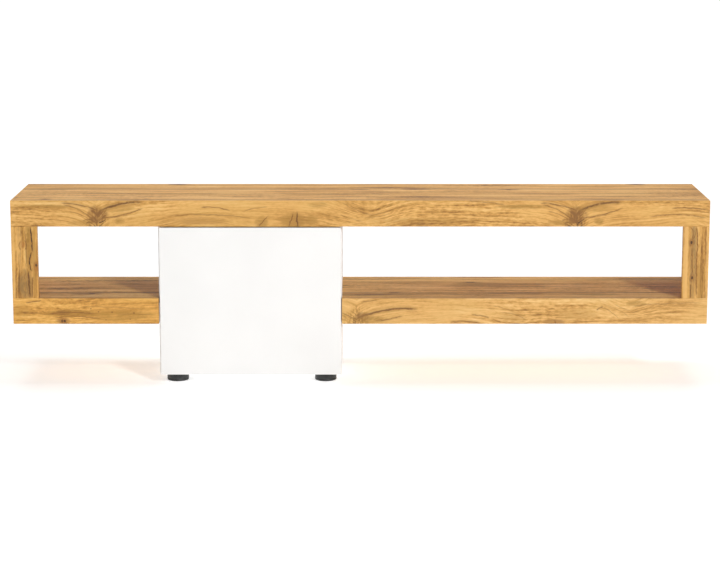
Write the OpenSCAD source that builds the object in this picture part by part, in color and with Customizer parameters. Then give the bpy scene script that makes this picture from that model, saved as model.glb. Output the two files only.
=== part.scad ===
// Low wide media stand: an oak-look beam frame with two open bays around a white box with one push-open door.
// Millimetres. +Z up, front faces -Y, origin on the floor under the centre of the outline.

/* [Overall] */
// Overall width
stand_w = 2000; // [1800:10:2200]
// Overall depth, front faces to rear edge
stand_d = 350; // [320:5:420]
// Overall height
stand_h = 536; // [516:1:576]

/* [Oak frame] */
// Thickness of the oak-look boards
oak_t = 16; // [15:1:18]
// Thickness of the front facings
face_t = 16; // [15:1:18]
// Height of the facings, and width of the two post facings
face_h = 75; // [65:1:90]
// Height of the lower facings' bottom edge above the floor
low_z = 177; // [165:1:190]

/* [White box] */
// Left outer face of the white box
box_x0 = -580.5; // [-620:0.5:-560]
// Outer width of the white box
box_w = 528; // [500:0.5:560]
// Thickness of the white boards
box_t = 18; // [16:1:18]
// Height of the box bottom above the floor, which is also the height of the feet
foot_h = 25; // [20:1:30]
// Thickness of the rear panel
back_t = 3; // [2.5:0.5:4]
// Height of the underside of the inner shelf, one of three hole positions
inner_z = 265; // [245:10:285]

/* [Door] */
// Door thickness
door_t = 16; // [16:1:18]
// Gap between the door edge and what lies beside it
door_gap = 3; // [2.5:0.5:4]
// Gap behind the door that lets it be pushed in
push_gap = 3; // [2.5:0.5:3]

/* [Feet] */
// Foot diameter
foot_d = 63; // [55:1:70]
// Foot centre to the box's side face
foot_in = 48; // [45:0.5:60]
// Front foot centre behind the front face
foot_y = 61; // [58:1:75]

/* [Hidden] */
$fn = 64;
e = 0.01;
x0 = -stand_w/2; x1 = stand_w/2;
yf = -stand_d/2; yb = stand_d/2;
yi = yf + face_t;                 // plane behind the facings
zt = stand_h - oak_t;             // underside of the top
zf = stand_h - face_h;            // underside of the top facing
zs = low_z + face_h;              // top of the lower shelves
bx0 = box_x0; bx1 = box_x0 + box_w;
ci0 = bx0 + box_t; ci1 = bx1 - box_t;   // inner faces of the box
yc = yi + push_gap;               // front edge of the box boards
ycb = yb - back_t;                // rear edge of the box boards
dx0 = bx0 + 4; dx1 = bx1 - door_gap;    // door edges
dz0 = foot_h + 2; dz1 = zf - door_gap;
// hinge frame: u runs from the door's left edge, v from its front face
function U(u) = dx0 + u;
function V(v) = yf + v;
hinge_z = [dz0 + 85, dz1 - 85];
pin_c = [9.4, 12];                // pivot in the cup
door_ax = [2.5, 4];               // axis that the door turns about
link_off = [9.5, 14.1];           // guide pin from the cup pivot
arc_c = door_ax + link_off;       // centre of the arm's curved slot
arc_r = norm(pin_c - door_ax);
cup_c = 22;                       // cup centre from the door edge
latch_z = dz1 - 60;
pin_z = inner_z - 2.5;
shelf_pin_y = [-112, 120];
cam_y = [-110, 125];
box_cam_y = [-60, 60];
box_dow_y = [-132, 132];
foot_xy = [for (x = [bx0 + foot_in, bx1 - foot_in], y = [yf + foot_y, yb - foot_y]) [x, y]];
oak = [0.87, 0.68, 0.43]; oak2 = [0.84, 0.65, 0.40];
white = [0.97, 0.97, 0.96]; black = [0.09, 0.09, 0.09];
steel = [0.72, 0.73, 0.75]; zinc = [0.6, 0.61, 0.63]; birch = [0.87, 0.76, 0.58];

module bx(x0, x1, y0, y1, z0, z1) { translate([x0, y0, z0]) cube([x1 - x0, y1 - y0, z1 - z0]); }
// round bar or hole from a point along an axis: "x", "y" or "z"
module rod(p, ax, r, l, c = 0) {
  translate(p) rotate(ax == "x" ? [0, 90, 0] : ax == "y" ? [-90, 0, 0] : [0, 0, 0])
    translate([0, 0, min(0, l)]) cylinder(r = r, h = abs(l));
}

/* ---- cam joints: a list of [face x, direction into the horizontal board, height of that board's mid-plane, y, half its thickness] ---- */
// lower shelves to end panels and box sides, box boards to box sides
cams = concat(
  [for (y = cam_y) [x0 + oak_t, 1, zs - oak_t/2, y, oak_t/2]],
  [for (y = cam_y) [bx0, -1, zs - oak_t/2, y, oak_t/2]],
  [for (y = cam_y) [bx1, 1, zs - oak_t/2, y, oak_t/2]],
  [for (y = cam_y) [x1 - oak_t, -1, zs - oak_t/2, y, oak_t/2]],
  [for (y = box_cam_y) [ci0, 1, foot_h + box_t/2, y, box_t/2]],
  [for (y = box_cam_y) [ci1, -1, foot_h + box_t/2, y, box_t/2]],
  [for (y = box_cam_y) [ci0, 1, zt - box_t/2, y, box_t/2]],
  [for (y = box_cam_y) [ci1, -1, zt - box_t/2, y, box_t/2]]);
// end panels to the top: [x of the panel's mid-plane, side of the cam's mouth, y]
tcams = concat([for (y = cam_y) [x0 + oak_t/2, 1, y]], [for (y = cam_y) [x1 - oak_t/2, -1, y]]);
cam_in = 34;

module cam_bores() {
  for (c = cams) {
    rod([c[0] + c[1]*cam_in, c[3], c[2] - c[4] - e], "z", 7.5, c[4] + 5 + e);
    rod([c[0] - c[1]*11, c[3], c[2]], "x", 2.5, c[1]*11);
    rod([c[0], c[3], c[2]], "x", 4, c[1]*(cam_in - 2));
  }
  for (c = tcams) {
    rod([c[0] + c[1]*(oak_t/2 + e), c[2], zt - cam_in], "x", 7.5, -c[1]*13);
    rod([c[0], c[2], zt], "z", 2.5, 11);
    rod([c[0], c[2], zt], "z", 4, -(cam_in - 2));
  }
}
module cam_housings() color(zinc) {
  for (c = cams) difference() {
    rod([c[0] + c[1]*cam_in, c[3], c[2] - c[4]], "z", 7.4, c[4] + 4.4);
    rod([c[0], c[3], c[2]], "x", 3.4, c[1]*cam_in);
    translate([c[0] + c[1]*cam_in, c[3], c[2] - c[4]]) { cube([9, 1.6, 3], center = true); cube([1.6, 9, 3], center = true); }
  }
  for (c = tcams) difference() {
    rod([c[0] + c[1]*oak_t/2, c[2], zt - cam_in], "x", 7.4, -c[1]*12.4);
    rod([c[0], c[2], zt + e], "z", 3.4, -cam_in);
    translate([c[0] + c[1]*oak_t/2, c[2], zt - cam_in]) { cube([3, 9, 1.6], center = true); cube([3, 1.6, 9], center = true); }
  }
}
module cam_bolts() color(steel) {
  for (c = cams) {
    rod([c[0] - c[1]*10.5, c[3], c[2]], "x", 2.5, c[1]*10.5);
    rod([c[0], c[3], c[2]], "x", 3.6, c[1]*1.5);
    rod([c[0], c[3], c[2]], "x", 1.8, c[1]*29);
    rod([c[0] + c[1]*28, c[3], c[2]], "x", 3.2, c[1]*4);
  }
  for (c = tcams) {
    rod([c[0], c[2], zt], "z", 2.5, 10.5);
    rod([c[0], c[2], zt], "z", 3.6, -1.5);
    rod([c[0], c[2], zt], "z", 1.8, -29);
    rod([c[0], c[2], zt - 28], "z", 3.2, -4);
  }
}

/* ---- dowels between the frame boards: [start point, axis, length] ---- */
fd = concat(
  [for (x = [x0 + oak_t, bx1], y = [-60, 60]) [[x - 11, y, zs - oak_t/2], "x"]],
  [for (x = [bx0, x1 - oak_t], y = [-60, 60]) [[x - 19, y, zs - oak_t/2], "x"]],
  [for (x = [ci0], y = box_dow_y, z = [foot_h + box_t/2, zt - box_t/2]) [[x - 11, y, z], "x"]],
  [for (x = [ci1], y = box_dow_y, z = [foot_h + box_t/2, zt - box_t/2]) [[x - 19, y, z], "x"]],
  [for (x = [x0 + oak_t/2, x1 - oak_t/2], y = [-60, 60]) [[x, y, zt - 19], "z"]],
  [for (x = [bx0 + box_t/2, bx1 - box_t/2], y = [-20, 95]) [[x, y, zt - 19], "z"]],
  [for (z = [low_z + 20, zt - 20]) [[x0 + oak_t - 11, yb - oak_t/2, z], "x"]],
  [for (z = [low_z + 20, zt - 20]) [[x1 - oak_t - 19, yb - oak_t/2, z], "x"]]);
module dowel_bores(r = 4) { for (d = fd) rod(d[0], d[1], r, 30); }
module frame_dowels() color(birch) for (d = fd) rod(d[0], d[1], 4, 30);

/* ---- dowels between the facings and the boards behind them ---- */
function spread(a, b, n) = [for (i = [0:n - 1]) a + (b - a)*(i + 0.5)/n];
fcd = concat(
  [for (x = spread(x0 + 30, x1 - 30, 8)) [x, zt + oak_t/2]],
  [for (x = spread(x0 + 20, bx0 - 20, 2)) [x, zs - oak_t/2]],
  [for (x = spread(bx1 + 20, x1 - 20, 4)) [x, zs - oak_t/2]],
  [for (x = [x0 + oak_t/2, x1 - oak_t/2], z = [low_z + 25, zs + 40, zf - 40]) [x, z]]);
module facing_bores(r = 4) { for (d = fcd) rod([d[0], yi - 11, d[1]], "y", r, 30); }
module facing_dowels() color(birch) for (d = fcd) rod([d[0], yi - 11, d[1]], "y", 4, 30);

/* ---- oak frame ---- */
module top_panel() color(oak) difference() {
  bx(x0, x1, yi, yb, zt, stand_h);
  cam_bores(); dowel_bores(); facing_bores(); bracket_holes();
}
module top_facing() color(oak) difference() { bx(x0, x1, yf, yi, zf, stand_h); facing_bores(); }
module left_post_facing() color(oak2) difference() { bx(x0, x0 + face_h, yf, yi, zs, zf); facing_bores(); }
module right_post_facing() color(oak2) difference() { bx(x1 - face_h, x1, yf, yi, zs, zf); facing_bores(); }
module left_lower_facing() color(oak) difference() { bx(x0, bx0, yf, yi, low_z, zs); facing_bores(); }
module right_lower_facing() color(oak) difference() { bx(bx1, x1, yf, yi, low_z, zs); facing_bores(); }
module left_end_panel() color(oak2) difference() { bx(x0, x0 + oak_t, yi, yb, low_z, zt); cam_bores(); dowel_bores(); facing_bores(); }
module right_end_panel() color(oak2) difference() { bx(x1 - oak_t, x1, yi, yb, low_z, zt); cam_bores(); dowel_bores(); facing_bores(); }
module left_shelf() color(oak) difference() { bx(x0 + oak_t, bx0, yi, yb, zs - oak_t, zs); cam_bores(); dowel_bores(); facing_bores(); }
module right_shelf() color(oak) difference() { bx(bx1, x1 - oak_t, yi, yb, zs - oak_t, zs); cam_bores(); dowel_bores(); facing_bores(); }
rail_h = face_h - oak_t;
module top_rear_rail_left() color(oak2) difference() { bx(x0 + oak_t, bx0, yb - oak_t, yb, zf, zt); dowel_bores(); bracket_holes(); }
module top_rear_rail_right() color(oak2) difference() { bx(bx1, x1 - oak_t, yb - oak_t, yb, zf, zt); dowel_bores(); bracket_holes(); }
module low_rear_rail_left() color(oak2) difference() { bx(x0 + oak_t, bx0, yb - oak_t, yb, low_z, zs - oak_t); dowel_bores(); }
module low_rear_rail_right() color(oak2) difference() { bx(bx1, x1 - oak_t, yb - oak_t, yb, low_z, zs - oak_t); dowel_bores(); }

/* ---- white box ---- */
module pin_rows(x, d) for (y = shelf_pin_y, z = [pin_z - 32, pin_z, pin_z + 32]) rod([x, y, z], "x", 2.5, d*10);
module box_left_side() color(white) difference() {
  bx(bx0, ci0, yc, ycb, foot_h, zt);
  cam_bores(); dowel_bores(); pin_rows(ci0, -1);
  for (z = hinge_z, s = [-16, 16]) rod([ci0, V(56), z + s], "x", 2.4, -12);
}
module box_right_side() color(white) difference() {
  bx(ci1, bx1, yc, ycb, foot_h, zt);
  cam_bores(); dowel_bores(); pin_rows(ci1, 1);
  for (s = [-14, 14]) rod([ci1, yc + 30, latch_z + s], "x", 1.6, 11);
}
module box_bottom() color(white) difference() {
  bx(ci0, ci1, yc, ycb, foot_h, foot_h + box_t);
  cam_bores(); dowel_bores();
  for (p = foot_xy) rod([p[0], p[1], foot_h], "z", 2, 13);
}
module box_top() color(white) difference() { bx(ci0, ci1, yc, ycb, zt - box_t, zt); cam_bores(); dowel_bores(); }
nails = concat([for (x = [bx0 + box_t/2, bx1 - box_t/2], z = spread(foot_h + 20, zt - 20, 5)) [x, z]],
  [for (x = spread(ci0, ci1, 3), z = [foot_h + box_t/2]) [x, z]]);
module box_back() color(white) difference() {
  bx(bx0 + 1, bx1 - 1, ycb, yb, foot_h + 1, zt - 1);
  for (n = nails) rod([n[0], ycb - e, n[1]], "y", 0.8, back_t + 2*e);
}
module back_nails() color(steel) for (n = nails) rod([n[0], ycb, n[1]], "y", 0.8, back_t);
module inner_shelf() color(white) bx(ci0 + 1, ci1 - 1, yc + 25, ycb - 4, inner_z, inner_z + box_t);
module shelf_pins() color(steel) for (y = shelf_pin_y, s = [0, 1]) {
  x = s ? ci1 : ci0; d = s ? -1 : 1;
  rod([x, y, pin_z], "x", 2.5, -d*9.5);
  rod([x, y, pin_z], "x", 2.5, d*8);
  rod([x, y, pin_z], "x", 3.6, d*1);
}

/* ---- feet ---- */
module foot() rotate_extrude($fn = 96) polygon([[2.3, 6], [8, 6], [8, 1.5], [foot_d/2 - 4, 1.5], [foot_d/2 - 4, 0], [foot_d/2 - 2, 0],
  [foot_d/2 - 0.4, 1.2], [foot_d/2, 3], [foot_d/2, foot_h - 2], [foot_d/2 - 1, foot_h], [2.3, foot_h]]);
module feet() color(black) for (p = foot_xy) translate([p[0], p[1], 0]) foot();
module foot_pads() color([0.2, 0.2, 0.2]) for (p = foot_xy) translate([p[0], p[1], 0]) difference() {
  cylinder(d = foot_d - 8, h = 1.5); translate([0, 0, -1]) cylinder(r = 8, h = 4); }
module foot_screws() color(steel) for (p = foot_xy) difference() {
  union() { rod([p[0], p[1], 3.2], "z", 4.2, 2.8); rod([p[0], p[1], 5.8], "z", 2, foot_h + 12.5 - 5.8); }
  translate([p[0], p[1], 3.2]) { cube([5, 1, 2.4], center = true); cube([1, 5, 2.4], center = true); }
}

/* ---- wall brackets, each with a free hole for a screw into the wall ---- */
wb_x = [x0 + 160, x1 - 160];
wb_z = zf + 30;
wb_y = yb - oak_t - 26;
module bracket_holes() for (x = wb_x) {
  for (s = [-20, 20]) { rod([x + s, yb - oak_t, wb_z], "y", 1.5, 12); rod([x + s, wb_y, zt], "z", 1.5, 12); }
  rod([x, yb - oak_t - 1, wb_z], "y", 3, oak_t + 2);
}
module wall_brackets() color(steel) for (x = wb_x) difference() {
  union() { bx(x - 32, x + 32, yb - oak_t - 2, yb - oak_t, wb_z - 14, zt); bx(x - 32, x + 32, yb - oak_t - 40, yb - oak_t, zt - 2, zt); }
  for (s = [-20, 20]) { rod([x + s, yb - oak_t - 3, wb_z], "y", 2.5, 5); rod([x + s, wb_y, zt - 4], "z", 2.5, 6); }
  rod([x, yb - oak_t - 3, wb_z], "y", 3.5, 5);
}
module bracket_screws() color(zinc) for (x = wb_x, s = [-20, 20]) {
  rod([x + s, yb - oak_t - 2, wb_z], "y", 1.5, 13); rod([x + s, yb - oak_t - 2, wb_z], "y", 3.8, -2.2);
  rod([x + s, wb_y, zt - 2], "z", 1.5, 13); rod([x + s, wb_y, zt - 2], "z", 3.8, -2.2);
}

/* ---- hinges ---- */
// plate on the box side
module hinge_plates() color(zinc) for (z = hinge_z) difference() {
  union() {
    bx(ci0, ci0 + 2, V(40), V(72), z - 24, z + 24);
    bx(ci0 + 2, U(20), V(46), V(92), z - 6, z + 6);
  }
  for (s = [-16, 16]) rod([ci0 - e, V(56), z + s], "x", 2.6, 3);
  rod([U(10), V(80), z], "x", 2.1, 12);
}
module plate_screws() color(steel) for (z = hinge_z, s = [-16, 16]) {
  rod([ci0 + 2, V(56), z + s], "x", 2.4, -13.5); rod([ci0 + 2, V(56), z + s], "x", 4, 2);
}
// screw through the arm into its plate
module arm_screws() color(steel) for (z = hinge_z) difference() {
  union() { rod([U(27.5), V(80), z], "x", 2.05, -12.8); rod([U(27.5), V(80), z], "x", 4, 2.2); }
  translate([U(29.2), V(80), z]) { cube([2.4, 5, 1], center = true); cube([2.4, 1, 5], center = true); }
}
// outline of a band of half-width r along the guide pin's curve, with round ends
function band(r, a0 = -50.8, a1 = 49.5, n = 24) = let(
    p0 = arc_r*[cos(a0), sin(a0)], p1 = arc_r*[cos(a1), sin(a1)]) concat(
  [for (i = [0:n]) let(a = a0 + (a1 - a0)*i/n) (arc_r + r)*[cos(a), sin(a)]],
  [for (i = [1:7]) let(a = a1 + 180*i/8) p1 + r*[cos(a), sin(a)]],
  [for (i = [n:-1:0]) let(a = a0 + (a1 - a0)*i/n) (arc_r - r)*[cos(a), sin(a)]],
  [for (i = [1:7]) let(a = a0 + 180 + 180*i/8) p0 + r*[cos(a), sin(a)]]);
module cheek2d() difference() {
  union() {
    polygon(band(3.1));
    translate(-arc_c) polygon([[16.5, 27.2], [23, 22], [27.5, 27.6], [27.5, 96], [16.6, 96]]);
  }
  polygon(band(1.3));
}
module hinge_arms() color(zinc) for (z = hinge_z) {
  translate([U(arc_c[0]), V(arc_c[1]), z]) for (s = [-8.5, 7]) translate([0, 0, s]) linear_extrude(height = 1.5) cheek2d();
  difference() {
    union() {
      bx(U(26), U(27.5), V(34), V(95), z - 7.5, z + 7.5);
      rod([U(20), V(80), z], "x", 4.4, 7);
    }
    rod([U(19), V(80), z], "x", 2.1, 10);
  }
}
// angled link with its two pins
module link_bar(h) linear_extrude(height = h) {
  k = [7.7, -0.1];
  hull() { circle(r = 2.3, $fn = 32); translate(k) circle(r = 2.2, $fn = 32); }
  hull() { translate(k) circle(r = 2.2, $fn = 32); translate(link_off) circle(r = 2.3, $fn = 32); }
}
module hinge_links() color(steel) for (z = hinge_z) translate([U(pin_c[0]), V(pin_c[1]), z]) {
  translate([0, 0, -6.2]) link_bar(12.4);
  translate([0, 0, -10.2]) cylinder(r = 1.25, h = 20.4);
  translate([link_off[0], link_off[1], -9]) cylinder(r = 1.25, h = 18);
}

/* ---- door and what it carries ---- */
module door() color(white) difference() {
  bx(dx0, dx1, yf, yi, dz0, dz1);
  for (z = hinge_z) { rod([U(cup_c), V(door_t - 12.6), z], "y", 17.5, 14); for (s = [-22.5, 22.5]) rod([U(31.5), V(door_t), z + s], "y", 1.5, -11); }
  for (s = [-8, 8]) rod([ci1 - 14, V(door_t), latch_z + s], "y", 1.2, -9);
}
module hinge_cups() color(zinc) for (z = hinge_z) difference() {
  union() {
    difference() {
      union() {
        rod([U(cup_c), V(door_t - 12.5), z], "y", 17.5, 12.5);
        intersection() {
          bx(U(7), U(41), V(door_t), V(door_t + 1.2), z - 31, z + 31);
          union() { rod([U(cup_c), V(door_t) - e, z], "y", 20, 1.4); bx(U(20), U(41), V(door_t) - e, V(door_t + 1.3), z - 32, z + 32); }
        }
      }
      rod([U(cup_c), V(door_t - 11.6), z], "y", 16.3, 14);
      bx(U(0), U(8), V(door_t - 5), V(door_t + 2), z - 8.7, z + 8.7);
      for (s = [-22.5, 22.5]) rod([U(31.5), V(door_t) - e, z + s], "y", 1.6, 2);
    }
    // ears that hold the pivot
    for (s = [-10.6, 8.8]) intersection() {
      union() {
        translate([U(pin_c[0]), V(pin_c[1]), z + s]) cylinder(r = 2.6, h = 1.8);
        bx(U(pin_c[0] - 2.6), U(pin_c[0] + 2.6), V(door_t - 12), V(pin_c[1]), z + s, z + s + 1.8);
      }
      rod([U(cup_c), V(0), z], "y", 17.3, 20);
    }
  }
  translate([U(pin_c[0]), V(pin_c[1]), z - 10.4]) cylinder(r = 1.3, h = 20.8);
}
module cup_screws() color(steel) for (z = hinge_z, s = [-22.5, 22.5]) {
  rod([U(31.5), V(door_t + 1.2), z + s], "y", 1.5, -12); rod([U(31.5), V(door_t + 1.2), z + s], "y", 3.6, 1.6);
}

/* ---- push latch ---- */
lx = ci1 - 14;
module latch_housing() color([0.85, 0.85, 0.84]) difference() {
  union() { bx(ci1 - 22, ci1 - 6, yc + 4, yc + 74, latch_z - 8, latch_z + 8); bx(ci1 - 6, ci1, yc + 22, yc + 56, latch_z - 19, latch_z + 19); }
  rod([lx, yc + 3, latch_z], "y", 5.1, 60);
  for (s = [-14, 14]) rod([ci1 - 7, yc + 30, latch_z + s], "x", 1.8, 8);
}
module latch_screws() color(steel) for (s = [-14, 14]) {
  rod([ci1 - 6, yc + 30, latch_z + s], "x", 1.6, 16.5); rod([ci1 - 6, yc + 30, latch_z + s], "x", 3.2, -1.8);
}
module latch_plunger() color([0.9, 0.9, 0.9]) {
  rod([lx, yc + 0.8, latch_z], "y", 4, 3); rod([lx, yc + 3, latch_z], "y", 5, 42);
}
module strike_plate() color(steel) difference() {
  bx(lx - 9, lx + 9, V(door_t), V(door_t) + 1, latch_z - 13, latch_z + 13);
  for (s = [-8, 8]) rod([lx, V(door_t) - e, latch_z + s], "y", 1.3, 2);
}
module strike_screws() color(steel) for (s = [-8, 8]) { rod([lx, V(door_t) + 1, latch_z + s], "y", 1.2, -9.5); rod([lx, V(door_t) + 1, latch_z + s], "y", 2.4, 0.3); }

top_panel();
top_facing();
left_post_facing();
right_post_facing();
left_lower_facing();
right_lower_facing();
left_end_panel();
right_end_panel();
left_shelf();
right_shelf();
top_rear_rail_left();
top_rear_rail_right();
low_rear_rail_left();
low_rear_rail_right();
box_left_side();
box_right_side();
box_bottom();
box_top();
box_back();
inner_shelf();
shelf_pins();
feet();
foot_pads();
foot_screws();
cam_housings();
cam_bolts();
frame_dowels();
facing_dowels();
back_nails();
wall_brackets();
bracket_screws();
hinge_plates();
hinge_arms();
plate_screws();
arm_screws();
latch_housing();
latch_screws();
latch_plunger();
hinge_links();
door();
hinge_cups();
cup_screws();
strike_plate();
strike_screws();
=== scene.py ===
import bpy, bmesh, math
from mathutils import Matrix, Vector


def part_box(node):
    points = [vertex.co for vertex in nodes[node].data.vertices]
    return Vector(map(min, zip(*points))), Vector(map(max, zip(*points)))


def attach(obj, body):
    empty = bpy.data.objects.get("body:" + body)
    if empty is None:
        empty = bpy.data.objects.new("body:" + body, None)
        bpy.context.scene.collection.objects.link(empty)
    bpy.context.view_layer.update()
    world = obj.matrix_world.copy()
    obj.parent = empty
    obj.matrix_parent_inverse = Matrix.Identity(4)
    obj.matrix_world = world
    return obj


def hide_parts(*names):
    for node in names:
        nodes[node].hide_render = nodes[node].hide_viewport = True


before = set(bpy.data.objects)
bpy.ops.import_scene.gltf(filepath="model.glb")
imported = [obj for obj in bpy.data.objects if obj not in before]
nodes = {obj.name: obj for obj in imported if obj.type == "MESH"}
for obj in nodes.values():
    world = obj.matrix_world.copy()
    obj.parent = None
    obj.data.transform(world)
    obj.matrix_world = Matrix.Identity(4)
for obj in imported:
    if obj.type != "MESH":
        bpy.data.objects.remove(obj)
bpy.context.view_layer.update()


# ------------------------------------------------------------------ colour and node helpers
def lin(c):
    """sRGB 0-255 to linear."""
    out = []
    for v in c[:3]:
        v /= 255.0
        out.append(v / 12.92 if v <= 0.04045 else ((v + 0.055) / 1.055) ** 2.4)
    return (*out, 1.0)


class Tree:
    """Builds a node tree from plain expressions: numbers or sockets in, a socket out."""

    def __init__(self, name):
        self.mat = bpy.data.materials.new(name)
        self.mat.use_nodes = True
        self.t = self.mat.node_tree
        self.t.nodes.clear()
        self.out = self.t.nodes.new("ShaderNodeOutputMaterial")
        self.p = self.t.nodes.new("ShaderNodeBsdfPrincipled")
        self.t.links.new(self.p.outputs[0], self.out.inputs["Surface"])
        co = self.t.nodes.new("ShaderNodeTexCoord")
        self.obj = co.outputs["Object"]
        sep = self.t.nodes.new("ShaderNodeSeparateXYZ")
        self.t.links.new(self.obj, sep.inputs[0])
        self.x, self.y, self.z = sep.outputs

    def put(self, socket, value):
        if isinstance(value, bpy.types.NodeSocket):
            self.t.links.new(value, socket)
        else:
            socket.default_value = value

    def m(self, op, a, b=None, c=None, clamp=False):
        n = self.t.nodes.new("ShaderNodeMath")
        n.operation = op
        n.use_clamp = clamp
        for i, v in enumerate((a, b, c)):
            if v is not None:
                self.put(n.inputs[i], v)
        return n.outputs[0]

    def add(self, *v):
        r = v[0]
        for x in v[1:]:
            r = self.m("ADD", r, x)
        return r

    def mul(self, *v):
        r = v[0]
        for x in v[1:]:
            r = self.m("MULTIPLY", r, x)
        return r

    def sub(self, a, b):
        return self.m("SUBTRACT", a, b)

    def vec(self, a, b, c):
        n = self.t.nodes.new("ShaderNodeCombineXYZ")
        for i, v in enumerate((a, b, c)):
            self.put(n.inputs[i], v)
        return n.outputs[0]

    def noise(self, a, b, c, detail=2.0, rough=0.5, dist=0.0, scale=1.0):
        n = self.t.nodes.new("ShaderNodeTexNoise")
        n.inputs["Scale"].default_value = scale
        n.inputs["Detail"].default_value = detail
        n.inputs["Roughness"].default_value = rough
        n.inputs["Distortion"].default_value = dist
        self.put(n.inputs["Vector"], self.vec(a, b, c))
        return n.outputs[0]

    def ramp(self, v, lo, hi, a=0.0, b=1.0, smooth=True):
        n = self.t.nodes.new("ShaderNodeMapRange")
        n.interpolation_type = "SMOOTHSTEP" if smooth else "LINEAR"
        n.clamp = True
        self.put(n.inputs[0], v)
        for i, q in zip((1, 2, 3, 4), (lo, hi, a, b)):
            n.inputs[i].default_value = q
        return n.outputs[0]

    def mix(self, f, a, b, mode="MIX"):
        n = self.t.nodes.new("ShaderNodeMix")
        n.data_type = "RGBA"
        n.blend_type = mode
        n.clamp_result = False
        self.put(n.inputs[0], f)
        self.put(n.inputs[6], a)
        self.put(n.inputs[7], b)
        return n.outputs[2]

    def colours(self, v, stops):
        n = self.t.nodes.new("ShaderNodeValToRGB")
        el = n.color_ramp.elements
        while len(el) < len(stops):
            el.new(0.5)
        for e, (pos, c) in zip(el, stops):
            e.position = pos
            e.color = lin(c)
        self.put(n.inputs[0], v)
        return n.outputs[0]

    def bump(self, h, strength, dist):
        n = self.t.nodes.new("ShaderNodeBump")
        n.inputs["Strength"].default_value = strength
        n.inputs["Distance"].default_value = dist
        self.put(n.inputs["Height"], h)
        self.t.links.new(n.outputs[0], self.p.inputs["Normal"])


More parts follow.
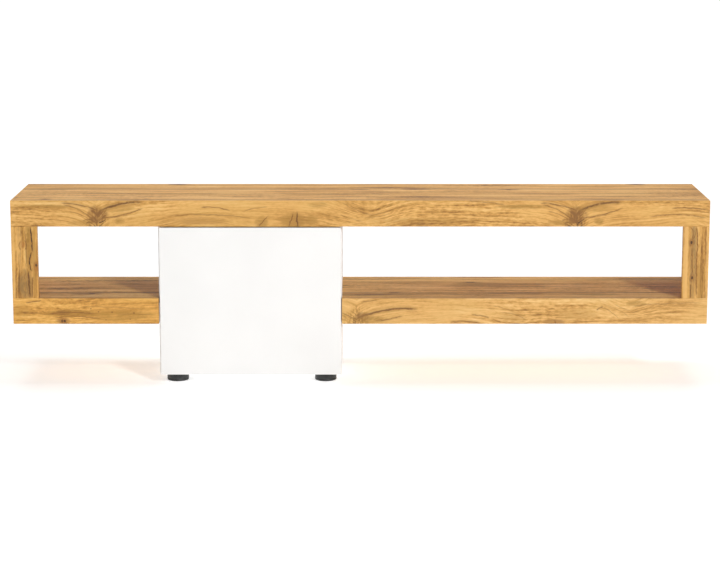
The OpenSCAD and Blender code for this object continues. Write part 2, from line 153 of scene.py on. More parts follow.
# ------------------------------------------------------------------ oak decor
def oak(name, along, across, seed=0.0, veins=(), knots=(), cracks=(), seams=(), tone=0.0, gain=None, contrast=1.0, strokes=(), stains_and_painted_light=()):
    """Printed wild-oak decor. along and across are 'x', 'y' or 'z'. All positions are in metres in the object's frame.
    veins: (s, t, depth, half length, half height, sharp) bends the grain; knots: (s, t, rs, rt); cracks: (s, t0, t1,
    lean, width) across the grain; seams: (t, width, strength) joints between planks along the grain; strokes: (s0, s1,
    t0, tm, t1, width, strength) bent dark lines along the grain; stains_and_painted_light: (s, t, rs, rt, strength,
    kind) soft olive, brown or light patches; the light kind along the front edge of a shelf is painted light."""
    g = Tree(name)
    ax = {"x": g.x, "y": g.y, "z": g.z}
    s, t = ax[along], ax[across]
    w = ax[({"x", "y", "z"} - {along, across}).pop()]
    s1, w1 = g.add(s, seed), g.add(w, seed * 0.37)
    # slow waviness of the grain, then the bends round knots
    slow = g.noise(g.mul(s1, 2.3), g.mul(t, 5.0), g.mul(w1, 2.0), 1.5, 0.45)
    slow2 = g.noise(g.mul(s1, 9.0), g.mul(t, 16.0), g.mul(w1, 6.0), 1.0, 0.5)
    tt = g.add(t, g.mul(g.sub(slow, 0.5), 0.050), g.mul(g.sub(slow2, 0.5), 0.008), seed * 0.61)
    feather = None
    calm = g.ramp(g.noise(g.mul(s1, 3.1), g.mul(t, 7.0), g.mul(w1, 5.0), 1.0, 0.5), 0.40, 0.62, 0.45, 1.15)
    for vs, vt, depth, hl, hh, sharp in veins:
        ds = g.m("ABSOLUTE", g.mul(g.sub(s, vs), 1.0 / hl))
        dt = g.mul(g.sub(t, vt), 1.0 / hh)
        if sharp:
            fall = g.m("EXPONENT", g.mul(ds, -1.0))
        else:
            fall = g.m("EXPONENT", g.mul(ds, ds, -1.0))
        near = g.m("EXPONENT", g.mul(dt, dt, -1.0))
        both = g.mul(fall, near)
        tt = g.add(tt, g.mul(both, depth))
        if sharp:
            dark_part = g.m("POWER", both, 1.5)
            feather = dark_part if feather is None else g.m("MAXIMUM", feather, dark_part)
    # bands, lines and pores, all along the bent grain
    band = g.noise(g.mul(s1, 1.3), g.mul(tt, 34.0), g.mul(w1, 34.0), 2.0, 0.55)
    mid = g.noise(g.mul(s1, 5.0), g.mul(tt, 125.0), g.mul(w1, 125.0), 2.0, 0.6)
    fine = g.noise(g.mul(s1, 12.0), g.mul(tt, 430.0), g.mul(w1, 430.0), 1.0, 0.6)
    mott = g.noise(g.mul(s1, 60.0), g.mul(tt, 170.0), g.mul(w1, 170.0), 2.0, 0.6)
    blot = g.noise(g.mul(s1, 5.0), g.mul(t, 13.0), g.mul(w1, 9.0), 2.0, 0.5)
    pore = g.noise(g.mul(s1, 70.0), g.mul(tt, 1300.0), g.mul(w1, 1300.0), 1.0, 0.5)
    pore_m = g.ramp(pore, 0.58, 0.72)
    lively = g.add(g.mul(g.sub(mid, 0.5), 1.05 * contrast), g.mul(g.sub(mott, 0.5), 0.70))
    v = g.add(g.mul(g.sub(band, 0.5), 0.85 * contrast), g.mul(lively, calm), g.mul(g.sub(fine, 0.5), 0.40), g.mul(g.sub(blot, 0.5), 0.50), 0.5 + tone)
    rings = g.m("SINE", g.add(g.mul(tt, 520.0), g.mul(slow, 14.0)))
    v = g.sub(v, g.mul(g.ramp(rings, 0.55, 1.0), g.ramp(band, 0.44, 0.62, 0.0, 0.10)))
    v = g.sub(v, g.mul(pore_m, 0.13))
    height = g.mul(pore_m, -1.0)
    if feather is not None:
        # a dark crotch figure: streaks that run down into the knot
        fl = g.noise(g.mul(s1, 170.0), g.mul(tt, 60.0), g.mul(w1, 20.0), 2.0, 0.6)
        fr = g.m("SINE", g.add(g.mul(tt, 900.0), g.mul(fl, 9.0)))
        fm = g.ramp(feather, 0.22, 0.80)
        v = g.sub(v, g.mul(fm, g.add(g.mul(g.ramp(fl, 0.40, 0.62), 0.38), g.mul(g.ramp(fr, 0.1, 0.9), 0.20), 0.05)))
    col = g.colours(v, ((0.02, (104, 66, 26)), (0.20, (156, 108, 46)), (0.36, (194, 141, 66)), (0.50, (219, 165, 88)), (0.66, (233, 182, 106)), (0.90, (244, 200, 130))))
    col = g.mix(g.ramp(blot, 0.42, 0.72, 0.0, 0.22), col, lin((196, 152, 70)))
    wob_n = g.noise(g.mul(s, 55.0), g.mul(t, 80.0), seed, 2.0, 0.6)
    wob_t = g.mul(g.sub(wob_n, 0.5), 0.007)
    tw = g.add(t, wob_t)
    patch = g.ramp(g.add(g.mul(mott, 0.6), g.mul(mid, 0.6)), 0.46, 0.72)
    # each patch mixes a tint over the colour; olive, brown, rust and grey are stains, the smooth light kind is a pale
    # patch, and along the front edge of a shelf it is painted light
    for cs, ct, rs, rt, strength, kind in stains_and_painted_light:
        ds, dt = g.mul(g.sub(s, cs), 1.0 / rs), g.mul(g.sub(t, ct), 1.0 / rt)
        r2 = g.add(g.mul(ds, ds), g.mul(dt, dt), g.mul(g.sub(wob_n, 0.5), 1.2))
        near = g.ramp(r2, 0.15, 1.25, 1.0, 0.0)
        tint = {"olive": (166, 122, 48), "brown": (138, 92, 40), "light": (240, 190, 116), "rust": (170, 98, 36), "grey": (150, 116, 66)}[kind]
        grainy = near if kind == "light" else g.mul(near, g.add(g.mul(patch, 0.75), 0.40))
        col = g.mix(g.m("MULTIPLY", grainy, strength * 1.4, clamp=True), col, lin(tint))
    for a, b, t0, tm, t1, width, strength in strokes:
        u = g.m("MULTIPLY_ADD", s, 1.0 / (b - a), -a / (b - a))
        f = g.m("MULTIPLY_ADD", g.m("MULTIPLY_ADD", u, 2 * (t0 + t1 - 2 * tm), 4 * tm - 3 * t0 - t1), u, t0)
        d = g.m("ABSOLUTE", g.sub(tw, f))
        end = g.ramp(g.m("ABSOLUTE", g.sub(u, 0.5)), 0.34, 0.50, 1.0, 0.0)
        soft = g.mul(g.ramp(d, width * 0.9, width * 3.6, 1.0, 0.0), end)
        core = g.mul(g.ramp(d, width * 0.25, width * 1.15, 1.0, 0.0), end, g.ramp(wob_n, 0.30, 0.52, 0.45, 1.0))
        col = g.mix(g.mul(soft, 0.50 * strength), col, lin((166, 116, 50)))
        col = g.mix(g.m("MULTIPLY", core, 1.15 * strength, clamp=True), col, lin((112, 72, 28) if strength < 0.9 else (58, 34, 14)))
        height = g.sub(height, g.mul(core, strength))
    for ks, kt, rs, rt in knots:
        jit = g.mul(g.sub(g.noise(g.mul(s, 120.0), g.mul(t, 120.0), w, 2.0, 0.6), 0.5), 0.9)
        ds, dt = g.mul(g.sub(s, ks), 1.0 / rs), g.mul(g.sub(t, kt), 1.0 / rt)
        r = g.add(g.m("SQRT", g.add(g.mul(ds, ds), g.mul(dt, dt))), jit)
        col = g.mix(g.mul(g.ramp(r, 0.9, 2.4, 1.0, 0.0), 0.55), col, lin((164, 112, 52)))
        core = g.ramp(r, 0.55, 1.05, 1.0, 0.0)
        col = g.mix(g.mul(core, 0.9), col, lin((62, 36, 18)))
        height = g.sub(height, g.mul(core, 3.0))
    for cs, c0, c1, lean, width in cracks:
        wob = g.mul(g.sub(g.noise(g.mul(s, 40.0), g.mul(t, 90.0), cs * 10.0, 2.0, 0.6), 0.5), 0.012)
        ds = g.m("ABSOLUTE", g.add(g.sub(s, cs), g.mul(g.sub(t, c0), -lean), wob))
        ends = g.mul(g.ramp(t, c0 - 0.002, c0 + 0.004), g.ramp(t, c1 - 0.016, c1, 1.0, 0.0))
        line = g.mul(g.ramp(ds, width * 0.4, width, 1.0, 0.0), ends)
        halo = g.mul(g.ramp(ds, width, width * 6.0, 1.0, 0.0), ends)
        col = g.mix(g.mul(halo, 0.35), col, lin((176, 124, 56)))
        col = g.mix(g.mul(line, 0.85), col, lin((112, 70, 24)))
        height = g.sub(height, g.mul(line, 2.0))
    for st, width, strength in seams:
        wob = g.mul(g.sub(g.noise(g.mul(s1, 4.0), st * 10.0, w, 2.0, 0.5), 0.5), width * 1.6)
        ds = g.m("ABSOLUTE", g.add(g.sub(t, st), wob))
        on = g.ramp(g.noise(g.mul(s1, 3.0), st * 33.0, 0.0, 2.0, 0.6), 0.30, 0.62, 0.35, 1.0)
        line = g.mul(g.ramp(ds, width * 0.15, width, 1.0, 0.0), on)
        col = g.mix(g.mul(line, strength), col, lin((134, 90, 50)))
        height = g.sub(height, line)
    if gain:
        col = g.mix(1.0, col, (*gain, 1.0), "MULTIPLY")
    g.put(g.p.inputs["Base Color"], col)
    g.put(g.p.inputs["Roughness"], g.add(0.40, g.mul(fine, 0.10), g.mul(pore_m, 0.12)))
    g.p.inputs["Specular IOR Level"].default_value = 0.42
    g.bump(g.add(height, g.mul(fine, 0.7)), 0.22, 0.00022)
    return g.mat


def board_white(name, tint=(249, 248, 246), rough=0.34):
    """Smooth white laminate: faint pearl structure, tiny tone drift, slight scuffing near nothing in particular."""
    g = Tree(name)
    a = g.noise(g.mul(g.x, 3.0), g.mul(g.y, 3.0), g.mul(g.z, 3.0), 3.0, 0.5)
    b = g.noise(g.mul(g.x, 900.0), g.mul(g.y, 900.0), g.mul(g.z, 900.0), 2.0, 0.5)
    c = g.noise(g.mul(g.x, 60.0), g.mul(g.y, 60.0), g.mul(g.z, 60.0), 2.0, 0.6)
    d = tuple(v - 5 for v in tint)
    col = g.mix(g.ramp(a, 0.3, 0.7), lin(tint), lin(d))
    col = g.mix(g.mul(g.ramp(c, 0.55, 0.8), 0.25), col, lin(d))
    g.put(g.p.inputs["Base Color"], col)
    g.put(g.p.inputs["Roughness"], g.add(rough, g.mul(c, 0.08)))
    g.p.inputs["Specular IOR Level"].default_value = 0.45
    g.bump(b, 0.10, 0.00008)
    return g.mat


def plastic(name, rgb, rough, grain=1400.0, strength=0.25):
    g = Tree(name)
    a = g.noise(g.mul(g.x, 40.0), g.mul(g.y, 40.0), g.mul(g.z, 40.0), 3.0, 0.6)
    b = g.noise(g.mul(g.x, grain), g.mul(g.y, grain), g.mul(g.z, grain), 2.0, 0.6)
    lo = tuple(max(0, v * 0.86 - 2) for v in rgb)
    hi = tuple(min(255, v * 1.10 + 3) for v in rgb)
    g.put(g.p.inputs["Base Color"], g.mix(g.ramp(a, 0.3, 0.7), lin(lo), lin(hi)))
    g.put(g.p.inputs["Roughness"], g.add(rough, g.mul(a, 0.12)))
    g.bump(b, strength, 0.0001)
    return g.mat


def metal(name, rgb, rough, brush="z"):
    g = Tree(name)
    k = {"x": (8.0, 900.0, 900.0), "y": (900.0, 8.0, 900.0), "z": (900.0, 900.0, 8.0)}[brush]
    a = g.noise(g.mul(g.x, k[0]), g.mul(g.y, k[1]), g.mul(g.z, k[2]), 2.0, 0.6)
    b = g.noise(g.mul(g.x, 90.0), g.mul(g.y, 90.0), g.mul(g.z, 90.0), 3.0, 0.6)
    lo = tuple(v * 0.88 for v in rgb)
    g.put(g.p.inputs["Base Color"], g.mix(g.ramp(b, 0.3, 0.75), lin(rgb), lin(lo)))
    g.p.inputs["Metallic"].default_value = 1.0
    g.put(g.p.inputs["Roughness"], g.add(rough, g.mul(a, 0.10), g.mul(b, 0.10)))
    g.bump(a, 0.12, 0.00005)
    return g.mat


def hardboard(name):
    """White-faced thin fibre board for the rear of the box."""
    g = Tree(name)
    a = g.noise(g.mul(g.x, 7.0), g.mul(g.y, 7.0), g.mul(g.z, 7.0), 4.0, 0.6)
    b = g.noise(g.mul(g.x, 500.0), g.mul(g.y, 500.0), g.mul(g.z, 700.0), 2.0, 0.7)
    col = g.mix(g.ramp(a, 0.3, 0.75), lin((241, 240, 236)), lin((236, 234, 229)))
    col = g.mix(g.mul(g.ramp(b, 0.62, 0.78), 0.3), col, lin((214, 208, 196)))
    g.put(g.p.inputs["Base Color"], col)
    g.put(g.p.inputs["Roughness"], g.add(0.50, g.mul(b, 0.15)))
    g.bump(b, 0.2, 0.0002)
    return g.mat


def birch(name):
    g = Tree(name)
    a = g.noise(g.mul(g.x, 300.0), g.mul(g.y, 300.0), g.mul(g.z, 300.0), 3.0, 0.6)
    g.put(g.p.inputs["Base Color"], g.mix(a, lin((224, 196, 150)), lin((190, 156, 108))))
    g.put(g.p.inputs["Roughness"], g.add(0.55, g.mul(a, 0.15)))
    g.bump(a, 0.3, 0.0002)
    return g.mat


# ------------------------------------------------------------------ geometry helpers
def finish_piece(ob, body, replaced=(), mat=None):
    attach(ob, body)
    if replaced:
        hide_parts(*replaced)
    if mat is not None:
        ob.data.materials.clear()
        ob.data.materials.append(mat)
    return ob


def board(node, body, mat, edge=0.0006):
    """The board's own bores with softened long edges, as on a banded panel."""
    src = nodes[node]
    me = src.data.copy()
    me.name = node + "_board"
    me.attributes.active = me.attributes[0] if len(me.attributes) else None
    bm = bmesh.new()
    bm.from_mesh(me)
    bmesh.ops.remove_doubles(bm, verts=bm.verts, dist=2e-6)
    bmesh.ops.dissolve_limit(bm, angle_limit=math.radians(0.3), verts=bm.verts, edges=bm.edges)
    lo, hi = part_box(node)

    def on(v):
        return {(i, k) for i in range(3) for k, c in ((0, lo[i]), (1, hi[i])) if abs(v.co[i] - c) < 1e-5}

    outer = [e for e in bm.edges if len(on(e.verts[0]) & on(e.verts[1])) >= 2]
    bmesh.ops.bevel(bm, geom=outer, offset=edge, segments=2, profile=0.5, affect="EDGES", clamp_overlap=True)
    bm.normal_update()
    for f in bm.faces:
        f.smooth = False
    bm.to_mesh(me)
    bm.free()
    ob = bpy.data.objects.new(node + "_board", me)
    bpy.context.scene.collection.objects.link(ob)
    return finish_piece(ob, body, (node,), mat)


def lathe(name, profile, centre, steps=96):
    """profile: (radius, height) points from the inner bottom round to the inner top, closed on itself."""
    bm = bmesh.new()
    rings = []
    for i in range(steps):
        a = 2 * math.pi * i / steps
        rings.append([bm.verts.new((centre[0] + r * math.cos(a), centre[1] + r * math.sin(a), h)) for r, h in profile])
    n = len(profile)
    for i in range(steps):
        p, q = rings[i], rings[(i + 1) % steps]
        for k in range(n):
            bm.faces.new((p[k], q[k], q[(k + 1) % n], p[(k + 1) % n]))
    bmesh.ops.recalc_face_normals(bm, faces=bm.faces)
    for f in bm.faces:
        f.smooth = True
    me = bpy.data.meshes.new(name)
    bm.to_mesh(me)
    bm.free()
    ob = bpy.data.objects.new(name, me)
    bpy.context.scene.collection.objects.link(ob)
    return ob


# ------------------------------------------------------------------ materials
W0 = -1.0
top_f = 0.4985  # middle of the top facing
low_f = 0.2145  # middle of the lower facings

# painted sheen: this gain makes the top panel brighter and bluer than its decor, standing in for the grazing sheen of
# the white surroundings
top_painted_sheen_gain = (1.08, 1.09, 1.22)
# painted light and sheen: this gain makes the shelves brighter and bluer than their decor, standing in for the light in
# the bays and their grazing sheen
shelf_painted_light_and_sheen_gain = (1.20, 1.36, 1.56)
m_top = oak("oak_top", "x", "y", seed=3.1, gain=top_painted_sheen_gain, tone=-0.04,
            knots=[(-0.545, 0.168, 0.010, 0.006), (-0.905, -0.142, 0.006, 0.004), (-0.615, -0.140, 0.006, 0.004), (0.830, 0.168, 0.010, 0.006),
                   (0.158, 0.062, 0.016, 0.006), (0.440, 0.050, 0.010, 0.005)],
            seams=[(0.062, 0.014, 0.62), (-0.150, 0.010, 0.70)],
            stains_and_painted_light=[(0.165, 0.062, 0.050, 0.022, 0.60, "brown"), (0.440, 0.055, 0.040, 0.016, 0.60, "brown"), (0.830, 0.162, 0.034, 0.018, 0.70, "brown"),
                    (0.000, 0.055, 0.034, 0.015, 0.50, "brown"), (-0.920, 0.062, 0.080, 0.018, 0.50, "olive"), (-0.905, -0.145, 0.024, 0.012, 0.60, "brown"),
                    (-0.545, 0.162, 0.034, 0.018, 0.70, "brown"), (0.700, -0.152, 0.070, 0.010, 0.40, "brown")])
v_figure = [(-0.860, -0.745, 0.5290, 0.5235, 0.5060, 0.0022, 0.62), (-0.850, -0.764, 0.5240, 0.5110, 0.4820, 0.0016, 0.60),
            (-0.835, -0.765, 0.5060, 0.4960, 0.4760, 0.0010, 0.45), (-0.745, -0.618, 0.5060, 0.5275, 0.5305, 0.0042, 0.80),
            (-0.742, -0.616, 0.4860, 0.4950, 0.5165, 0.0015, 0.75), (-0.748, -0.727, 0.4720, 0.4765, 0.4840, 0.0014, 1.0),
            (-0.740, -0.722, 0.4930, 0.5010, 0.5170, 0.0012, 0.70), (-0.720, -0.660, 0.4850, 0.4905, 0.4950, 0.0010, 0.45),
            (-0.795, -0.752, 0.4760, 0.4820, 0.4700, 0.0014, 0.50), (-0.785, -0.765, 0.4700, 0.4730, 0.4690, 0.0018, 0.70)]
v_stains = [(-0.750, 0.496, 0.032, 0.026, 0.72, "brown"), (-0.905, 0.5185, 0.085, 0.0065, 0.55, "olive"), (-0.700, 0.514, 0.060, 0.012, 0.42, "olive"),
            (-0.798, 0.472, 0.040, 0.009, 0.45, "olive"), (-0.688, 0.478, 0.018, 0.010, 0.55, "olive"), (-0.760, 0.480, 0.014, 0.012, 0.60, "brown")]
rep = 1.369
m_topf = oak("oak_top_facing", "x", "z", seed=11.7, tone=0.015, gain=(0.93, 0.94, 0.94), contrast=0.78,
             veins=[(-0.752, 0.455, 0.052, 0.060, 0.085, True), (0.617, 0.455, 0.052, 0.060, 0.085, True), (0.022, 0.500, 0.034, 0.085, 0.06, False),
                    (-0.44, 0.475, -0.020, 0.12, 0.04, False), (0.94, 0.475, -0.020, 0.10, 0.04, False)],
             cracks=[(-0.2905, 0.461, 0.497, 0.85, 0.0020), (-0.2045, 0.461, 0.506, 0.33, 0.0018), (-0.179, 0.461, 0.509, -0.05, 0.0032)],
             strokes=v_figure + [(a + rep, b + rep, *q) for a, b, *q in v_figure] + [
                 (-0.460, -0.368, 0.5155, 0.5165, 0.5060, 0.0014, 0.60), (0.885, 0.999, 0.5145, 0.5150, 0.5090, 0.0016, 0.65),
                 (-0.560, -0.300, 0.4900, 0.4960, 0.4835, 0.0018, 0.40), (0.820, 0.999, 0.4870, 0.4960, 0.4840, 0.0018, 0.50),
                 (-0.335, -0.262, 0.5050, 0.5150, 0.5180, 0.0010, 0.45), (-0.055, 0.030, 0.5340, 0.5090, 0.4980, 0.0010, 0.45),
                 (-0.030, 0.045, 0.5250, 0.5010, 0.4920, 0.0010, 0.35), (0.020, 0.115, 0.4950, 0.5020, 0.5215, 0.0010, 0.45),
                 (0.010, 0.090, 0.4880, 0.4900, 0.5010, 0.0010, 0.35), (-0.060, 0.010, 0.4980, 0.4830, 0.4760, 0.0010, 0.40),
                 (0.300, 0.420, 0.5345, 0.5320, 0.5220, 0.0016, 0.50)],
             stains_and_painted_light=v_stains + [(c + rep, *q) for c, *q in v_stains] + [(-0.190, 0.478, 0.042, 0.024, 0.50, "olive"), (-0.283, 0.474, 0.020, 0.018, 0.45, "olive"),
                                (-0.140, 0.482, 0.020, 0.016, 0.40, "olive"), (-0.120, 0.524, 0.030, 0.010, 0.35, "olive"),
                                (0.190, 0.478, 0.180, 0.010, 0.25, "olive"), (-0.455, 0.478, 0.090, 0.012, 0.25, "brown")])
m_lpost = oak("oak_left_post", "z", "x", seed=21.3, tone=-0.06, gain=(0.88, 0.85, 0.73), contrast=1.25,
              knots=[(0.349, -0.930, 0.0045, 0.0030)],
              strokes=[(0.385, 0.462, -0.9405, -0.9410, -0.9440, 0.0017, 0.95), (0.328, 0.390, -0.9430, -0.9485, -0.9410, 0.0017, 0.95),
                       (0.250, 0.336, -0.9505, -0.9510, -0.9530, 0.0030, 0.85), (0.250, 0.318, -0.9450, -0.9430, -0.9405, 0.0014, 0.85),
                       (0.330, 0.460, -0.9600, -0.9570, -0.9620, 0.0012, 0.45), (0.250, 0.340, -0.9620, -0.9640, -0.9610, 0.0010, 0.40),
                       (0.392, 0.420, -0.9730, -0.9775, -0.9700, 0.0012, 0.60), (0.392, 0.424, -0.9610, -0.9570, -0.9640, 0.0012, 0.60),
                       (0.250, 0.400, -0.9800, -0.9790, -0.9810, 0.0008, 0.35)],
              stains_and_painted_light=[(0.400, -0.950, 0.085, 0.011, 0.60, "olive"), (0.290, -0.962, 0.050, 0.024, 0.60, "grey"), (0.408, -0.966, 0.011, 0.007, 0.45, "rust"),
                      (0.346, -0.931, 0.018, 0.008, 0.55, "rust"), (0.360, -0.935, 0.120, 0.007, 0.35, "olive"), (0.400, -0.978, 0.080, 0.010, 0.40, "light"),
                      (0.360, -0.9955, 0.200, 0.0060, 0.55, "light")])
m_rpost = oak("oak_right_post", "z", "x", seed=27.9, tone=-0.05, gain=(0.87, 0.85, 0.77), contrast=1.2,
              knots=[(0.4146, 0.949, 0.0060, 0.0040), (0.312, 0.954, 0.0055, 0.0032)],
              strokes=[(0.370, 0.462, 0.9650, 0.9665, 0.9630, 0.0015, 0.85), (0.250, 0.390, 0.9685, 0.9655, 0.9652, 0.0014, 0.80),
                       (0.250, 0.296, 0.9515, 0.9505, 0.9500, 0.0016, 0.80), (0.320, 0.405, 0.9555, 0.9520, 0.9505, 0.0014, 0.70),
                       (0.420, 0.462, 0.9500, 0.9530, 0.9460, 0.0012, 0.65), (0.422, 0.462, 0.9530, 0.9600, 0.9620, 0.0012, 0.60),
                       (0.250, 0.460, 0.9800, 0.9790, 0.9810, 0.0010, 0.40)],
              stains_and_painted_light=[(0.360, 0.955, 0.140, 0.011, 0.55, "grey"), (0.300, 0.978, 0.080, 0.012, 0.40, "olive"), (0.4146, 0.949, 0.016, 0.010, 0.40, "brown"),
                      (0.312, 0.954, 0.016, 0.009, 0.40, "brown"), (0.360, 0.9345, 0.200, 0.0075, 0.60, "light"), (0.360, 0.9960, 0.200, 0.0050, 0.45, "light")])
m_llow = oak("oak_left_lower_facing", "x", "z", seed=33.0, tone=0.0, gain=(0.97, 0.93, 0.73), contrast=0.9,
             veins=[(-0.80, 0.205, 0.012, 0.16, 0.03, False)],
             knots=[(-0.8585, 0.1855, 0.0040, 0.0050), (-0.8520, 0.1855, 0.0040, 0.0045), (-0.776, 0.2215, 0.0016, 0.0012), (-0.754, 0.2125, 0.0018, 0.0012),
                    (-0.715, 0.2115, 0.0022, 0.0014), (-0.652, 0.209, 0.0022, 0.0014), (-0.733, 0.189, 0.0016, 0.0012), (-0.663, 0.191, 0.0018, 0.0012)],
             strokes=[(-0.965, -0.915, 0.2395, 0.2425, 0.2455, 0.0015, 0.75), (-0.890, -0.735, 0.1935, 0.1995, 0.1880, 0.0012, 0.60),
                      (-0.905, -0.760, 0.2050, 0.2110, 0.2060, 0.0022, 0.55), (-0.880, -0.800, 0.2130, 0.2180, 0.2150, 0.0012, 0.40),
                      (-0.820, -0.600, 0.2270, 0.2260, 0.2180, 0.0010, 0.35), (-0.700, -0.590, 0.2060, 0.2055, 0.2040, 0.0010, 0.40)],
             stains_and_painted_light=[(-0.835, 0.208, 0.080, 0.012, 0.70, "olive"), (-0.690, 0.202, 0.105, 0.020, 0.50, "olive"), (-0.856, 0.1855, 0.022, 0.012, 0.50, "brown"),
                     (-0.860, 0.209, 0.024, 0.008, 0.50, "brown"), (-0.975, 0.215, 0.030, 0.020, 0.30, "olive")])
m_rlow = oak("oak_right_lower_facing", "x", "z", seed=41.4, tone=0.045, gain=(0.95, 0.99, 1.10), contrast=0.8,
             veins=[(-0.010, 0.175, 0.045, 0.06, 0.07, True), (0.77, 0.245, 0.035, 0.07, 0.05, False), (0.30, 0.19, -0.014, 0.09, 0.03, False)],
             cracks=[(0.5625, 0.177, 0.192, -0.15, 0.0034)],
             strokes=[(-0.015, 0.170, 0.1900, 0.2185, 0.2193, 0.0036, 0.75), (0.040, 0.126, 0.1860, 0.1910, 0.2015, 0.0015, 0.65),
                      (-0.055, -0.002, 0.2090, 0.1990, 0.1830, 0.0016, 0.60), (0.004, 0.052, 0.2415, 0.2450, 0.2480, 0.0014, 0.55),
                      (0.318, 0.375, 0.2035, 0.2015, 0.1940, 0.0014, 0.60), (0.255, 0.350, 0.1815, 0.1840, 0.1810, 0.0022, 0.50),
                      (0.690, 0.748, 0.2275, 0.2150, 0.1900, 0.0010, 0.38), (0.705, 0.778, 0.2340, 0.2190, 0.1960, 0.0009, 0.32),
                      (0.730, 0.795, 0.2350, 0.2210, 0.2060, 0.0009, 0.30), (0.680, 0.700, 0.2180, 0.2240, 0.2290, 0.0020, 0.60),
                      (0.780, 0.990, 0.2290, 0.2370, 0.2380, 0.0016, 0.40), (0.400, 0.480, 0.2100, 0.2060, 0.1900, 0.0009, 0.35),
                      (0.380, 0.440, 0.2300, 0.2240, 0.2140, 0.0008, 0.35)],
             stains_and_painted_light=[(0.030, 0.190, 0.055, 0.012, 0.55, "olive"), (0.005, 0.200, 0.022, 0.014, 0.50, "brown"), (0.560, 0.183, 0.035, 0.009, 0.45, "brown"),
                     (0.795, 0.237, 0.030, 0.010, 0.55, "olive"), (0.620, 0.205, 0.070, 0.020, 0.22, "olive"), (0.440, 0.196, 0.040, 0.020, 0.20, "olive")])
# painted light: the light strip along the front edge of the shelf stands for the light falling in under the top facing;
# the brown and olive patches are stains
m_lsh = oak("oak_left_shelf", "x", "y", seed=52.0, gain=shelf_painted_light_and_sheen_gain, tone=-0.04,
            knots=[(-0.78, -0.10, 0.012, 0.005)], seams=[(0.150, 0.010, 0.6), (-0.085, 0.012, 0.7)],
            stains_and_painted_light=[(-0.78, -0.158, 0.26, 0.014, 0.45, "light"), (-0.80, -0.105, 0.050, 0.014, 0.50, "brown"), (-0.70, 0.050, 0.060, 0.020, 0.40, "olive")])
# painted light: the light strip along the front edge of the shelf stands for the light falling in under the top facing;
# the two light patches further back make the middle of the shelf paler; the rest are stains
m_rsh = oak("oak_right_shelf", "x", "y", seed=57.0, gain=shelf_painted_light_and_sheen_gain, tone=-0.04,
            knots=[(0.10, -0.09, 0.02, 0.007), (0.33, 0.08, 0.02, 0.006)], seams=[(0.150, 0.010, 0.6), (-0.085, 0.012, 0.7)],
            stains_and_painted_light=[(0.450, -0.160, 0.560, 0.014, 0.50, "light"), (0.325, 0.050, 0.060, 0.022, 0.45, "olive"), (0.035, -0.110, 0.060, 0.014, 0.60, "brown"),
                    (0.430, -0.100, 0.060, 0.010, 0.50, "brown"), (0.500, -0.105, 0.040, 0.010, 0.50, "brown"), (0.690, -0.115, 0.075, 0.016, 0.50, "olive"),
                    (0.620, 0.020, 0.090, 0.030, 0.30, "light"), (0.180, 0.000, 0.120, 0.040, 0.30, "light")])
m_ends = oak("oak_end_panels", "z", "y", seed=63.0, tone=-0.02, seams=[(0.02, 0.006, 0.6)], knots=[(0.37, 0.06, 0.011, 0.007)])
m_rail = oak("oak_rails", "x", "z", seed=71.0)
m_white = board_white("white_laminate")
m_door = board_white("white_door_laminate", (241, 240, 238), 0.28)
m_hdf = hardboard("white_hardboard")
m_black = plastic("black_plastic", (34, 35, 34), 0.42)
m_pad = plastic("felt_pad", (58, 57, 55), 0.85, 2200.0, 0.6)
m_grey = plastic("latch_plastic", (214, 214, 211), 0.40)
m_steel = metal("zinc_plated_steel", (196, 198, 202), 0.26, "x")
m_zinc = metal("nickel_plated_zinc", (188, 187, 184), 0.24, "z")
m_brk = metal("bracket_steel", (176, 178, 181), 0.34, "x")
m_birch = birch("birch_dowel")

# ------------------------------------------------------------------ boards
for node, mat in (("top_panel", m_top), ("top_facing", m_topf), ("left_lower_facing", m_llow), ("right_lower_facing", m_rlow),
                  ("left_shelf", m_lsh), ("right_shelf", m_rsh), ("top_rear_rail_left", m_rail), ("top_rear_rail_right", m_rail),
                  ("low_rear_rail_left", m_rail), ("low_rear_rail_right", m_rail)):
    board(node, "stand", mat)
for node, mat in (("left_post_facing", m_lpost), ("right_post_facing", m_rpost), ("left_end_panel", m_ends), ("right_end_panel", m_ends)):
    board(node, "stand", mat)
for node in ("box_left_side", "box_right_side", "box_bottom", "box_top", "inner_shelf"):
    board(node, "stand", m_white)
board("door", "door", m_door, 0.0010)
board("box_back", "stand", m_hdf, 0.0003)

# ------------------------------------------------------------------ feet
lo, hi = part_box("feet")
R = 0.0315
fx = (lo.x + R, hi.x - R)
fy = (lo.y + R, hi.y - R)
H = hi.z
prof = [(0.0023, 0.006), (0.0080, 0.006), (0.0080, 0.0015), (R - 0.0040, 0.0015), (R - 0.0040, 0.0)]
for k in range(7):
    a = math.radians(-90 + 15 * k)
    prof.append((R - 0.0026 + 0.0026 * math.cos(a), 0.0026 + 0.0026 * math.sin(a)))
prof += [(R, 0.0062), (R - 0.0006, 0.0067), (R - 0.0006, 0.0075), (R, 0.0080), (R, H - 0.0020)]
for k in range(1, 6):
    a = math.radians(18 * k)
    prof.append((R - 0.0018 + 0.0018 * math.cos(a), H - 0.0018 + 0.0018 * math.sin(a)))
prof += [(0.0080, H), (0.0023, H)]
feet = []
for i, (x, y) in enumerate([(x, y) for x in fx for y in fy]):
    f = lathe("foot_%d" % (i + 1), prof, (x, y))
    feet.append(finish_piece(f, "stand", ("feet",) if i == 0 else (), m_black))

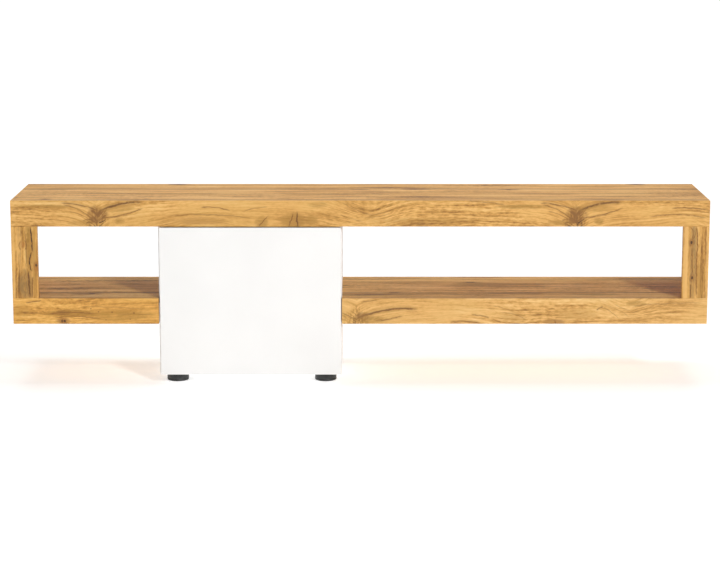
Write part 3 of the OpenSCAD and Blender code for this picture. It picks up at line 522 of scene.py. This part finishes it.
# ------------------------------------------------------------------ CAD nodes that stay
for name, mat in (("shelf_pins", m_steel), ("foot_screws", m_steel), ("cam_bolts", m_steel), ("back_nails", m_steel), ("bracket_screws", m_steel),
                  ("plate_screws", m_steel), ("arm_screws", m_steel), ("latch_screws", m_steel), ("cup_screws", m_steel), ("strike_screws", m_steel), ("strike_plate", m_brk),
                  ("cam_housings", m_zinc), ("hinge_plates", m_zinc), ("hinge_arms", m_zinc), ("hinge_links", m_steel), ("hinge_cups", m_zinc),
                  ("wall_brackets", m_brk), ("foot_pads", m_pad), ("frame_dowels", m_birch), ("facing_dowels", m_birch),
                  ("latch_housing", m_grey), ("latch_plunger", m_grey)):
    ob = nodes[name]
    for sl in ob.material_slots:
        sl.material = mat
    if not ob.material_slots:
        ob.data.materials.append(mat)

# ------------------------------------------------------------------ floor, light, camera
bm = bmesh.new()
bmesh.ops.create_grid(bm, x_segments=8, y_segments=8, size=40.0)
me = bpy.data.meshes.new("floor")
bm.to_mesh(me)
bm.free()
floor = bpy.data.objects.new("floor", me)
bpy.context.scene.collection.objects.link(floor)
floor.location = (0, 10, -0.0003)
g = Tree("studio_floor")
g.p.inputs["Base Color"].default_value = (0.86, 0.86, 0.86, 1)
g.p.inputs["Roughness"].default_value = 0.9
g.p.inputs["Specular IOR Level"].default_value = 0.0
g.p.inputs["Emission Color"].default_value = (1, 1, 1, 1)
far = g.m("SQRT", g.add(g.mul(g.x, g.x), g.mul(g.add(g.y, 10.0), g.add(g.y, 10.0))))
g.put(g.p.inputs["Emission Strength"], g.ramp(far, 1.0, 6.0, 0.47, 0.86))
floor.data.materials.append(g.mat)

world = bpy.data.worlds.new("studio")
bpy.context.scene.world = world
world.use_nodes = True
world.node_tree.nodes["Background"].inputs[0].default_value = (1, 1, 1, 1)
# white round the horizon, dimmer overhead, as in a tent with a covered roof
wt = world.node_tree
w_co = wt.nodes.new("ShaderNodeTexCoord")
w_sep = wt.nodes.new("ShaderNodeSeparateXYZ")
w_map = wt.nodes.new("ShaderNodeMapRange")
w_map.interpolation_type = "SMOOTHSTEP"
for i, q in zip((1, 2, 3, 4), (0.22, 0.50, 0.62, 0.13)):
    w_map.inputs[i].default_value = q
wt.links.new(w_co.outputs["Generated"], w_sep.inputs[0])
wt.links.new(w_sep.outputs[2], w_map.inputs[0])
wt.links.new(w_map.outputs[0], wt.nodes["Background"].inputs[1])


def area(name, loc, target, size, power, colour=(1, 1, 1)):
    d = bpy.data.lights.new(name, "AREA")
    d.shape = "RECTANGLE"
    d.size, d.size_y = size
    d.energy = power
    d.color = colour
    o = bpy.data.objects.new(name, d)
    bpy.context.scene.collection.objects.link(o)
    o.location = loc
    o.rotation_euler = (Vector(target) - Vector(loc)).to_track_quat("-Z", "Y").to_euler()
    return o


area("key", (6.85, -11.9, 7.4), (0.1, 0, 0.3), (1.8, 1.8), 1080)
area("front_fill", (-1.5, -6.5, 2.6), (0, 0, 0.3), (3.5, 2.5), 4)
area("top_fill", (0, 0.6, 3.4), (0, 0, 0.4), (4.0, 2.0), 73)

cam_d = bpy.data.cameras.new("camera")
cam_d.sensor_width = 36.0
cam_d.lens = 107.83
cam_d.clip_end = 200.0
cam = bpy.data.objects.new("camera", cam_d)
bpy.context.scene.collection.objects.link(cam)
cam.location = (-0.0005, -6.271, 1.427)
cam.rotation_euler = (math.radians(90 - 10.488), 0, 0)
bpy.context.scene.camera = cam
bpy.context.scene.view_settings.view_transform = "Standard"
